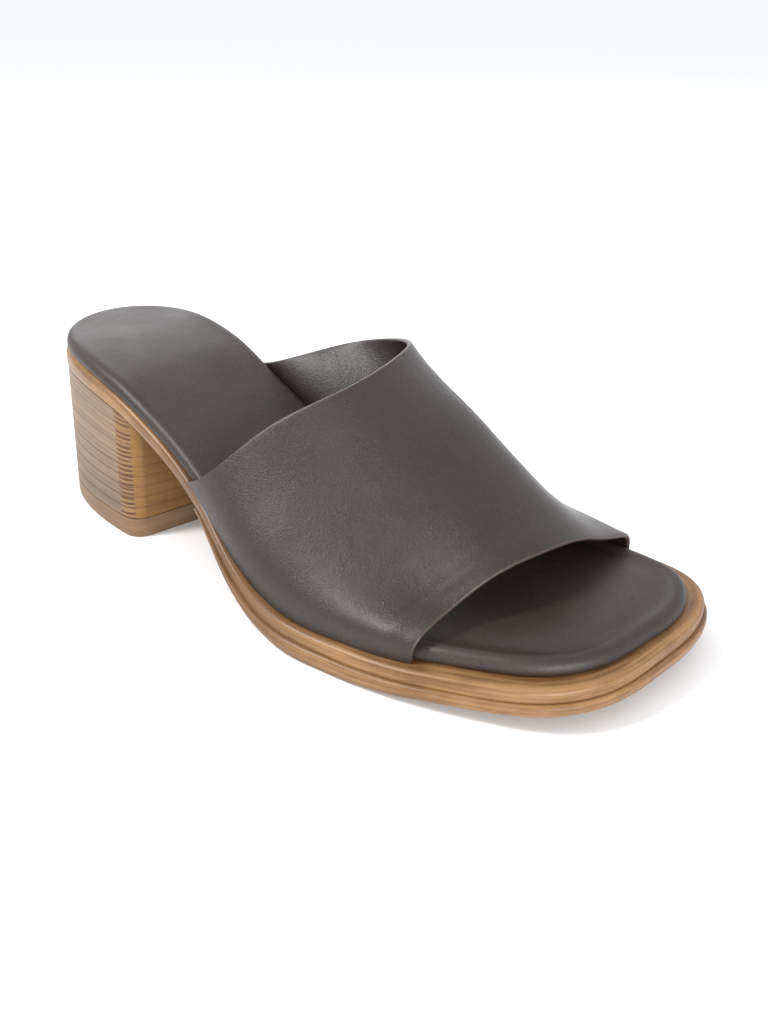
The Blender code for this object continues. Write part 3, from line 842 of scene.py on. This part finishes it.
def stack_finish(name, sizes, colours):
    """Stacked heel: layers of changing tone with dark lines, a comb of ticks and a golden strip."""
    made = Finish(name)
    around = made.split(made.place.outputs["UV"])[0]
    at = made.place.outputs["Object"]
    level = made.attribute("level")
    turn = made.attribute("turn")
    past_start = made.mask(turn, -0.24, -0.12)
    past_middle = made.mask(turn, 0.44, 0.56)
    front = made.mask(turn, 0.86, 0.99)
    comb = made.math("MULTIPLY", past_start, made.math("SUBTRACT", 1.0, past_middle))
    strip = made.math("MULTIPLY", past_middle, made.math("SUBTRACT", 1.0, front))
    wobble = made.noise(made.join(around, level, 0.0), 55.0, detail=2.0)
    shifted = made.math("ADD", level, made.math("MULTIPLY", made.math("SUBTRACT", wobble, 0.5), 0.0012))

    def along(around_scale, level_scale, seed, detail=2.0, roughness=0.5):
        """Noise stretched round the heel."""
        x = made.math("MULTIPLY", around, around_scale)
        y = made.math("MULTIPLY", shifted, level_scale)
        return made.noise(made.join(x, y, seed), 1.0, detail=detail, roughness=roughness)

    layers = made.mask(along(7.0, 250.0, 0.3), 0.36, 0.66)
    fibre = along(110.0, 2300.0, 0.0, detail=4.0, roughness=0.65)
    low = made.math("SUBTRACT", 1.0, made.mask(level, 0.004, 0.030))
    pale = made.mix(made.math("MULTIPLY", low, 0.55), tuple(colours.stack), tuple(colours.stack_dark))
    side = made.mix(made.math("MULTIPLY", layers, 0.55), pale, tuple(colours.stack_dark))
    flecks = made.math("MULTIPLY", made.mask(fibre, 0.46, 0.70), 0.45)
    side = made.mix(flecks, side, made.mix(0.45, tuple(colours.stack_line), tuple(colours.stack)))
    gold = made.mix(made.math("MULTIPLY", flecks, 0.8), tuple(colours.gold), tuple(colours.breast))
    shade = made.mix(made.math("MULTIPLY", layers, 0.45), tuple(colours.breast), tuple(colours.breast_dark))
    body = made.mix(comb, side, made.mix(0.65, tuple(colours.stack), tuple(colours.gold)))
    body = made.mix(strip, body, gold)
    body = made.mix(front, body, shade)

    def lines(pitch, width, soft):
        """Thin lines a pitch apart."""
        away = made.math("PINGPONG", shifted, pitch / 2.0)
        return made.math("SUBTRACT", 1.0, made.mask(away, width - soft, width + soft))

    fading = made.math("SUBTRACT", 1.0, made.math("MULTIPLY", made.mask(level, 0.020, 0.036), 0.70))
    main = made.math("MULTIPLY", lines(sizes.stack_pitch, 0.00032, 0.00014), fading)
    broken = made.mask(along(26.0, 150.0, 8.0), 0.24, 0.46)
    main = made.math("MULTIPLY", main, broken)
    fine = made.math("MULTIPLY", lines(sizes.stack_pitch / 2.0, 0.00018, 0.00014), 0.45)
    fine = made.math("MULTIPLY", fine, made.mask(along(20.0, 300.0, 5.0), 0.36, 0.60))
    marks = made.math("MAXIMUM", main, fine)
    quiet = made.math("SUBTRACT", 1.0, made.math("MULTIPLY", made.math("MAXIMUM", front, strip), 0.62))
    body = made.mix(made.math("MULTIPLY", made.math("MULTIPLY", marks, quiet), 0.72), body, tuple(colours.stack_line))
    ticks = made.math("MULTIPLY", lines(sizes.stack_pitch * 0.46, 0.00046, 0.00018), comb)
    ticks = made.math("MULTIPLY", ticks, made.mask(along(60.0, 420.0, 2.0), 0.30, 0.50))
    body = made.mix(made.math("MULTIPLY", ticks, 0.88), body, tuple(colours.stack_tick))
    stains = made.mask(made.noise(at, 75.0, detail=3.0), 0.56, 0.74)
    body = made.mix(made.math("MULTIPLY", stains, 0.30), body, tuple(colours.edge_dark))
    relief = made.bump(made.math("SUBTRACT", fibre, made.math("MULTIPLY", marks, 0.9)), 0.00016, 0.6)
    relief = made.bump(made.math("SUBTRACT", 1.0, ticks), 0.00022, 0.6, relief)
    return made.set(
        Base__Color=body,
        Roughness=made.math("ADD", made.math("MULTIPLY", fibre, 0.15), 0.42),
        Normal=relief,
        Coat__Weight=0.03,
        Coat__Roughness=0.35,
        Specular__IOR__Level=0.20,
    )


def footbed_ring(last, xs, row):
    """One ring of the footbed: the dip inside its edge is deeper under the toes than at the seat."""
    base_gap = last.sizes.joint_gap

    def height(x):
        length = last.sizes.insole_length
        toe = ease(x, 0.45 * length, 0.70 * length)
        level = row.height
        if row.inset > 3.4 and row.height > 1.0:
            level = FLAT_CROWN - (FLAT_CROWN - row.height) * (SEAT_DIP + (1.0 - SEAT_DIP) * toe)
        return last.deck(x) + base_gap + level * MM

    return last.outline_ring(xs, lambda x, side: -row.inset * MM, row.reach, height)


class MULE_OT_footbed(bpy.types.Operator):
    """Model the padded footbed with its rounded wall and the shallow dip inside its edge"""

    bl_idname = "mule.make_footbed"
    bl_label = "Footbed"

    def execute(self, context):
        last = Last(context.scene.mule_sizes)
        xs = last.stations(150)
        bm, _ = sweep([footbed_ring(last, xs, row) for row in FOOTBED_TOP])
        colour = tuple(context.scene.mule_colours.footbed)
        grain = context.scene.mule_sizes.grain_size
        mat = leather_finish("footbed_leather", colour, grain, 0.00005, 0.46, 0.06)
        piece = finish_piece(bm, "footbed_pad", mat, "footbed")
        return {"FINISHED"}


def layer_bmesh(last, rows, edge, top, bottom, count, start=None):
    """A sole layer swept from the middle of its top round the edge to the middle underneath."""
    xs = last.stations(count, start)
    whole = start is None
    rings = []
    for row in rows:

        def height(x, row=row):
            return top(x) + row.drop * (bottom(x) - top(x))

        def offset(x, side, row=row):
            return edge(x, side) - row.inset * MM

        rings.append(last.outline_ring(xs, offset, row.reach, height, whole))
    return sweep(rings)


class MULE_OT_midsole(bpy.types.Operator):
    """Model the tan midsole whose ledge shows round the footbed"""

    bl_idname = "mule.make_midsole"
    bl_label = "Midsole"

    def execute(self, context):
        last = Last(context.scene.mule_sizes)
        colours = context.scene.mule_colours
        bm, _ = layer_bmesh(last, MIDSOLE_ROWS, last.midsole_edge, last.deck, last.midsole_bottom, 150)
        # The last value is the strength of the painted shade round the waist.
        mat = edge_finish("welt_tan", colours.edge, colours.edge_dark, 0.40, 0.14, 0.70)
        finish_piece(bm, "midsole_welt", mat, "midsole")
        return {"FINISHED"}


class MULE_OT_outsole(bpy.types.Operator):
    """Model the outsole with its stepped, rounded edge"""

    bl_idname = "mule.make_outsole"
    bl_label = "Outsole"

    def execute(self, context):
        sizes = context.scene.mule_sizes
        last = Last(sizes)
        start = OUTSOLE_START * sizes.insole_length
        colours = context.scene.mule_colours
        bm, _ = layer_bmesh(last, OUTSOLE_ROWS, last.ledge, last.outsole_top, last.outsole_bottom, 150, start)
        # The last value is the strength of the painted shade round the waist.
        mat = edge_finish("sole_tan", colours.edge, colours.edge_dark, 0.42, 0.12, 0.60)
        finish_piece(bm, "outsole_forepart", mat, "outsole")
        return {"FINISHED"}


def breast_corner(last, side, edge):
    """Centre of a front corner's arc, which meets the heel's side and its turned front face."""
    sizes = last.sizes
    x = BREAST_AT * sizes.insole_length
    for _ in range(4):
        y = last.edge_place(x, side, edge)[1] - side * sizes.breast_corner
        x = BREAST_AT * sizes.insole_length + (y * sin(sizes.breast_turn) - sizes.breast_corner) / cos(sizes.breast_turn)
    return x, y


def heel_outline(last, lean):
    """The block's outline at a lean of 0 at the seat to 1 at the floor.

    Each point also holds how far it has turned from the side, 0, to the front face, 1.
    """
    sizes = last.sizes
    edge = sizes.heel_edge + lean * sizes.heel_side_flare
    low = float(last.runs[MEDIAL][0, 0])
    sides = {}
    for side in (LATERAL, MEDIAL):
        corner_x, corner_y = breast_corner(last, side, edge)
        sweep_angle = 0.5 * pi + side * sizes.breast_turn
        run = []
        for i in range(HEEL_STATIONS + 1):
            x = low + (corner_x - low) * (1.0 - cos(0.5 * pi * i / HEEL_STATIONS))
            run.append((*last.edge_place(x, side, edge), 0.0))
        for i in range(1, CORNER_STEPS + 1):
            angle = sweep_angle * i / CORNER_STEPS
            x = corner_x + sizes.breast_corner * sin(angle)
            y = corner_y + side * sizes.breast_corner * cos(angle)
            run.append((x, y, i / CORNER_STEPS))
        sides[side] = run
    back = (low - edge, 0.5 * (sides[LATERAL][0][1] + sides[MEDIAL][0][1]), 0.0)
    first, final = sides[LATERAL][-1], sides[MEDIAL][-1]
    face = []
    for i in range(1, FACE_STEPS):
        t = i / FACE_STEPS
        face.append((first[0] + t * (final[0] - first[0]), first[1] + t * (final[1] - first[1]), 1.0))
    ring = [back] + sides[LATERAL][1:] + face + sides[MEDIAL][:0:-1]
    breast = BREAST_AT * sizes.insole_length
    stretch = (breast + sizes.heel_edge + lean * sizes.heel_back_flare) / (breast - back[0])
    return [(breast - (breast - x) * stretch, y, turn) for x, y, turn in ring]


def heel_ring(last, lean, inset, height):
    """One ring of the heel. A groove's inset is shallower round the front face."""
    half = 0.5 * BREAST_AT * last.sizes.insole_length
    ring = []
    for x, y, turn in heel_outline(last, lean):
        depth = inset * (1.0 - (1.0 - BREAST_GROOVE_SHARE) * turn)
        shrink = 1.0 - depth / half
        px = half + (x - half) * shrink
        ring.append(Vector((px, y * shrink, height(px))) + last.origin)
    return ring


def heel_lean(last, z):
    """How far down the heel a height is: 0 at the seat, 1 at the floor."""
    return 1.0 - z / last.midsole_bottom(0.0)


def heel_marks(last, levels):
    """What a heel's points hold: the level up the stack, and the turn to the front face.

    The turn is 0 where a corner starts and 1 where it ends, and below 0 on the side before it.
    """
    outline = heel_outline(last, 0.5)
    starts = (outline[HEEL_STATIONS], outline[-HEEL_STATIONS])
    reach = 1.33 * last.sizes.breast_corner

    def turn(_, index):
        x, y, value = outline[index]
        if value > 0.0:
            return value
        away = min(((x - start[0]) ** 2 + (y - start[1]) ** 2) ** 0.5 for start in starts)
        return max(-away / reach, -1.0)

    return {"level": lambda number, _: levels[number], "turn": turn}


class MULE_OT_heel(bpy.types.Operator):
    """Model the stacked heel block with its engraved layer lines"""

    bl_idname = "mule.make_heel"
    bl_label = "Heel"

    def execute(self, context):
        sizes = context.scene.mule_sizes
        last = Last(sizes)
        floor = sizes.top_lift + sizes.joint_gap
        full = last.midsole_bottom(0.0) - sizes.joint_gap - floor
        rows = [(0.0, 0.25), (0.00018, 0.08), (0.0005, 0.0)]
        lines = int(full / sizes.stack_pitch)
        for k in range(1, lines + 1):
            centre = k * sizes.stack_pitch
            if centre > full - sizes.stack_pitch * 0.4:
                break
            rows += [(centre - 2.4 * MM, 0.0), (centre - GROOVE_HALF * MM, 0.0), (centre, GROOVE_DEPTH)]
            rows += [(centre + GROOVE_HALF * MM, 0.0)]
        rows += [(full - 0.0006, 0.0), (full, 0.0)]
        rows = sorted(set(rows))
        rings = []
        for level, inset in rows:
            share = level / full
            lean = heel_lean(last, floor) * (1.0 - share)

            def height(x, share=share, level=level):
                top = last.midsole_bottom(x) - sizes.joint_gap - floor
                return floor + level - (full - top) * share**2

            rings.append(heel_ring(last, lean, inset * MM, height))
        bm, where = sweep(rings, heel_marks(last, [level for level, _ in rows]))
        close_ends(bm, where, len(rings) - 1)
        mat = stack_finish("stack_tan", sizes, context.scene.mule_colours)
        finish_piece(bm, "heel_stack", mat, "heel_block")
        return {"FINISHED"}


class MULE_OT_top_lift(bpy.types.Operator):
    """Model the plain lift that the heel stands on"""

    bl_idname = "mule.make_top_lift"
    bl_label = "Top lift"

    def execute(self, context):
        sizes = context.scene.mule_sizes
        last = Last(sizes)
        profile = [
            (1.00, 0.35),
            (0.97, 0.10),
            (0.93, 0.0),
            (0.70, 0.0),
            (0.45, 0.0),
            (0.22, 0.0),
            (0.12, 0.03),
            (0.05, 0.20),
            (0.00, 0.60),
        ]
        rings = []
        for share, inset in profile:
            z = share * sizes.top_lift
            rings.append(heel_ring(last, heel_lean(last, z), inset * MM, lambda _, z=z: z))
        bm, where = sweep(rings)
        close_ends(bm, where, len(rings) - 1)
        colours = context.scene.mule_colours
        mat = edge_finish("lift_tan", colours.lift, colours.lift_dark, 0.52, 0.03)
        finish_piece(bm, "heel_top_lift", mat, "top_lift")
        return {"FINISHED"}


def band_section(last, v):
    """Points of the band from its lateral foot to its medial foot, v running from back to front."""
    sizes = last.sizes
    table = np.array([[[p.along, p.across, p.up] for p in section] for section in BAND_SECTIONS])
    rows = len(BAND_SECTIONS)
    knots = [i / (rows - 1) for i in range(rows)]
    shares = spline(table.reshape(rows, -1), [v], knots=knots)[0].reshape(-1, 3)
    points = []
    for along, across, up in shares:
        x = along * sizes.insole_length
        points.append([x, across * sizes.ball_width, last.deck(x) + up * sizes.instep_rise])
    outer = sizes.joint_gap + sizes.band_thickness
    for end, side, inward in ((0, LATERAL, 1), (-1, MEDIAL, -2)):
        x = points[end][0]
        lean = BAND_WALL_LEAN * (points[inward][0] - x)
        foot = last.edge_place(x, side, outer)
        wall = last.edge_place(x + lean, side, outer)
        inside = last.edge_place(x, side, sizes.joint_gap)
        base = max(last.deck(foot[0]), last.deck(inside[0])) + BAND_FOOT_GAP * MM
        points[end] = [foot[0], foot[1], base]
        rise = [wall[0], wall[1], last.deck(wall[0]) + sizes.band_wall]
        points.insert(1 if end == 0 else len(points) - 1, rise)
    return points


BAND_WALL_LEAN = 0.22
BAND_FOOT_GAP = 0.4
BAND_ACROSS = 150
BAND_ALONG = 56
RIM_STEPS = 8
LINING_GROOVE = 0.22


def band_surface(last):
    """The band's outer surface as a grid of points: rows from back to front, columns across."""
    rows = []
    shares = [i / BAND_ACROSS for i in range(BAND_ACROSS + 1)]
    for j in range(BAND_ALONG + 1):
        rows.append(spline(band_section(last, j / BAND_ALONG), shares))
    return np.array(rows)


def resample_rows(grid, margin):
    """Space the rows evenly along each column, stopping a margin short of the two edges."""
    result = np.zeros_like(grid)
    for i in range(grid.shape[1]):
        column = grid[:, i]
        steps = np.linalg.norm(np.diff(column, axis=0), axis=1)
        run = np.concatenate([[0.0], np.cumsum(steps)])
        wanted = margin + (run[-1] - 2.0 * margin) * np.linspace(0.0, 1.0, grid.shape[0])
        for k in range(3):
            result[:, i, k] = np.interp(wanted, run, column[:, k])
    return result


def grid_normals(grid):
    """Outward directions of a grid of points, and the directions that run towards the front."""
    forward = np.gradient(grid, axis=0)
    across = np.gradient(grid, axis=1)
    normal = np.cross(forward, across)
    normal /= np.linalg.norm(normal, axis=2)[:, :, None]
    forward /= np.linalg.norm(forward, axis=2)[:, :, None]
    return normal, forward


def crease_depth(across, along):
    """Depth of the band's soft creases at a place, in millimetres."""
    depth = 0.0
    for c in CREASES:
        lean = along - c.along - c.skew * (across - c.across)
        depth += c.depth * exp(-(((across - c.across) / c.wide) ** 2) - (lean / c.long) ** 2)
    foot = ease(across, 0.0, 0.08) * ease(1.0 - across, 0.0, 0.08)
    return depth * foot


class MULE_OT_band(bpy.types.Operator):
    """Model the wide leather band: one wall with a lining, its edges turned and rounded"""

    bl_idname = "mule.make_band"
    bl_label = "Band"

    def execute(self, context):
        sizes = context.scene.mule_sizes
        last = Last(sizes)
        half = sizes.band_thickness / 2.0
        grid = resample_rows(band_surface(last), half)
        normal, forward = grid_normals(grid)
        rows, columns = grid.shape[0], grid.shape[1]
        for j in range(rows):
            for i in range(columns):
                grid[j, i] -= normal[j, i] * crease_depth(i / BAND_ACROSS, j / (rows - 1)) * MM
        normal, forward = grid_normals(grid)
        centre = grid - normal * half
        rings = []
        for i in range(columns):
            ring = [centre[j, i] + normal[j, i] * half for j in range(rows)]
            ring += self.rim(centre[-1, i], normal[-1, i], forward[-1, i], half)
            ring += [centre[j, i] - normal[j, i] * half for j in reversed(range(rows))]
            ring += self.rim(centre[0, i], -normal[0, i], -forward[0, i], half)
            rings.append([Vector(point) + last.origin for point in ring])
        fronts = range(rows, rows + RIM_STEPS - 1)
        backs = range(2 * rows + RIM_STEPS - 1, 2 * (rows + RIM_STEPS - 1))
        bm, where = sweep(rings, {"rim": lambda _, index: float(index in fronts or index in backs)})
        close_ends(bm, where, len(rings) - 1)
        colour = tuple(context.scene.mule_colours.leather)
        # rim=True paints a highlight along the band's turned edges.
        mat = leather_finish("band_leather", colour, sizes.grain_size, 0.00013, 0.34, 0.22, rim=True)
        finish_piece(bm, "leather_band", mat, "upper", smooth_angle=1.2)
        return {"FINISHED"}

    @staticmethod
    def rim(centre, start, ahead, half):
        """Points round a turned edge, with a fine groove where the lining meets the leather."""
        points = []
        for k in range(1, RIM_STEPS):
            angle = pi * k / RIM_STEPS
            radius = half - (LINING_GROOVE * MM if k == RIM_STEPS // 2 + 1 else 0.0)
            points.append(centre + radius * (cos(angle) * start + sin(angle) * ahead))
        return points


def plain_finish(name, colour, roughness):
    """A matt finish for the floor."""
    made = Finish(name)
    return made.set(Base__Color=tuple(colour), Roughness=roughness, Specular__IOR__Level=0.2)


def area_light(name, place, target, size, energy, colour):
    """A soft rectangular light that faces a target."""
    data = bpy.data.lights.new(name, "AREA")
    data.shape = "RECTANGLE"
    data.size, data.size_y = size
    data.energy = energy
    data.color = colour
    lamp = bpy.data.objects.new(name, data)
    lamp.location = place
    lamp.rotation_euler = (Vector(target) - Vector(place)).to_track_quat("-Z", "Y").to_euler()
    bpy.context.scene.collection.objects.link(lamp)
    return lamp


class MULE_OT_stage(bpy.types.Operator):
    """Set the pale floor, the soft lights and the camera"""

    bl_idname = "mule.set_stage"
    bl_label = "Stage"

    def execute(self, context):
        stage = context.scene.mule_stage
        bm = bmesh.new()
        bmesh.ops.create_circle(bm, cap_ends=True, segments=96, radius=20.0)
        mesh = bpy.data.meshes.new("floor")
        bm.to_mesh(mesh)
        bm.free()
        mesh.materials.append(plain_finish("floor_pale", stage.floor_colour, 0.6))
        floor = bpy.data.objects.new("floor", mesh)
        context.scene.collection.objects.link(floor)
        world = bpy.data.worlds.new("surround")
        world.use_nodes = True
        backdrop = world.node_tree.nodes["Background"]
        backdrop.inputs["Color"].default_value = (0.97, 0.98, 1.0, 1.0)
        backdrop.inputs["Strength"].default_value = stage.sky_strength
        context.scene.world = world
        context.scene.view_settings.view_transform = "Standard"
        target = (0.0, 0.0, 0.03)
        area_light("key", (-0.42, -0.54, 0.78), target, (0.20, 0.20), 8.0, (1.0, 0.99, 0.98))
        area_light("front", (0.85, -0.55, 0.26), target, (0.6, 0.3), 9.0, (1.0, 1.0, 0.99))
        area_light("back", (-0.95, 0.70, 0.55), target, (0.9, 0.5), 3.5, (0.97, 0.99, 1.0))
        data = bpy.data.cameras.new("camera")
        data.sensor_width = 36.0
        data.sensor_fit = "AUTO"
        data.lens = stage.lens
        data.clip_start, data.clip_end = 0.01, 50.0
        camera = bpy.data.objects.new("camera", data)
        context.scene.collection.objects.link(camera)
        turn = Matrix.Rotation(radians(stage.azimuth), 4, "Z")
        tilt = Matrix.Rotation(radians(90.0 - stage.elevation), 4, "X")
        roll = Matrix.Rotation(radians(stage.roll), 4, "Z")
        camera.matrix_world = Matrix.Translation(stage.place) @ turn @ tilt @ roll
        context.scene.camera = camera
        return {"FINISHED"}


class MULE_PT_panel(bpy.types.Panel):
    """The mule's pieces, sizes and colours"""

    bl_idname = "MULE_PT_panel"
    bl_label = "Open-toe mule"
    bl_space_type = "VIEW_3D"
    bl_region_type = "UI"
    bl_category = "Mule"

    def draw(self, context):
        layout = self.layout
        for operator in OPERATORS:
            layout.operator(operator.bl_idname)
        for group in (context.scene.mule_sizes, context.scene.mule_colours, context.scene.mule_stage):
            box = layout.box()
            for name in group.bl_rna.properties.keys():
                if name not in ("rna_type", "name"):
                    box.prop(group, name)


OPERATORS = (
    MULE_OT_midsole,
    MULE_OT_outsole,
    MULE_OT_heel,
    MULE_OT_top_lift,
    MULE_OT_footbed,
    MULE_OT_band,
    MULE_OT_stage,
)
CLASSES = (MuleSizes, MuleColours, MuleStage, *OPERATORS, MULE_PT_panel)


def register():
    """Register the add-on's classes and its settings."""
    for cls in CLASSES:
        bpy.utils.register_class(cls)
    bpy.types.Scene.mule_sizes = PointerProperty(type=MuleSizes)
    bpy.types.Scene.mule_colours = PointerProperty(type=MuleColours)
    bpy.types.Scene.mule_stage = PointerProperty(type=MuleStage)


def unregister():
    """Take the add-on's classes and its settings away again."""
    del bpy.types.Scene.mule_stage
    del bpy.types.Scene.mule_colours
    del bpy.types.Scene.mule_sizes
    for cls in reversed(CLASSES):
        bpy.utils.unregister_class(cls)


def main():
    """Build every piece and the stage."""
    register()
    bpy.ops.mule.make_midsole()
    bpy.ops.mule.make_outsole()
    bpy.ops.mule.make_heel()
    bpy.ops.mule.make_top_lift()
    bpy.ops.mule.make_footbed()
    bpy.ops.mule.make_band()
    bpy.ops.mule.set_stage()
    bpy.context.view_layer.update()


if __name__ == "__main__":
    main()
